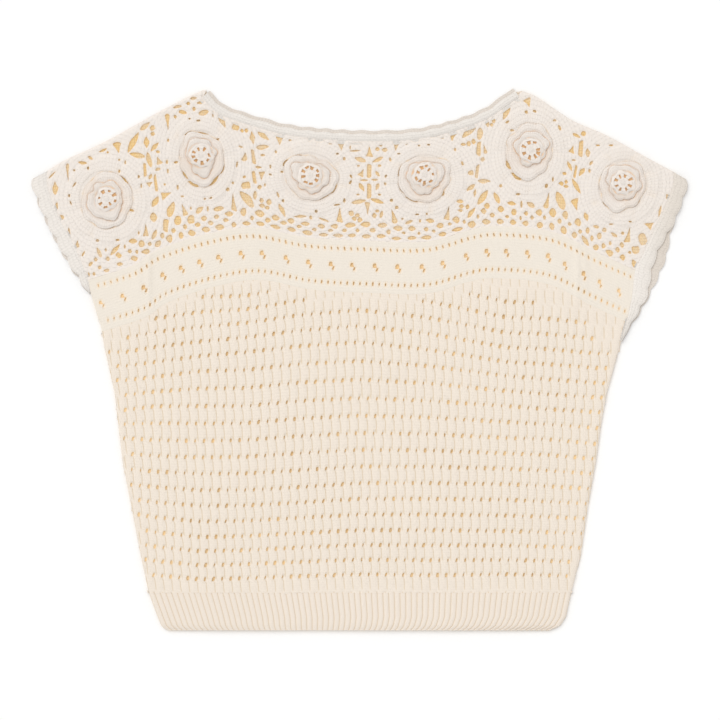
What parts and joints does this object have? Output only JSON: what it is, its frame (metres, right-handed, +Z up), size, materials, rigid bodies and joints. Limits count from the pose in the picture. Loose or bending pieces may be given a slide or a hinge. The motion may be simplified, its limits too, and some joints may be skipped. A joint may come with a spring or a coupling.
{
  "type": "crochet-yoke knitted top, laid flat",
  "caption": "Short cream cotton top laid flat: crocheted rose-square yoke with open net, knitted pointelle body, ribbed hem and scalloped edgings at neck and armholes.",
  "frame": {"origin": "middle of the garment's box, on the surface that it lies on", "axes": "+X across the garment towards the picture's right, +Y from the hem to the neck, +Z up from the surface"},
  "size_m": [0.6232, 0.5146, 0.0117],
  "materials": {
    "knit_cotton": "matt knitted cotton with pointelle columns",
    "knit_cotton_back": "matt knitted cotton, inner face in warm shade",
    "rib_cotton": "matt ribbed cotton",
    "rib_cotton_back": "matt ribbed cotton",
    "crochet_cotton": "matt crocheted cotton",
    "crochet_cotton_back": "matt crocheted cotton, inner face in warm shade",
    "edging_cotton": "matt crocheted cotton edging",
    "edging_cotton_back": "matt crocheted cotton edging in shade",
    "rose_cotton": "matt crocheted cotton petals"
  },
  "bodies": {
    "root": {"back_body": "knit_cotton_back", "back_hem_rib": "rib_cotton_back", "back_yoke": "crochet_cotton_back", "front_body": "knit_cotton", "front_hem_rib": "rib_cotton", "front_yoke": "crochet_cotton", "left_armhole_edging_back": "edging_cotton_back", "left_armhole_edging_front": "edging_cotton", "neck_edging_back": "edging_cotton_back", "neck_edging_front": "edging_cotton", "right_armhole_edging_back": "edging_cotton_back", "right_armhole_edging_front": "edging_cotton", "rose_1_left_sleeve": "rose_cotton", "rose_2_left_shoulder": "rose_cotton", "rose_3_left_chest": "rose_cotton", "rose_4_right_chest": "rose_cotton", "rose_5_right_shoulder": "rose_cotton", "rose_6_right_sleeve": "rose_cotton"}
  },
  "joints": []
}
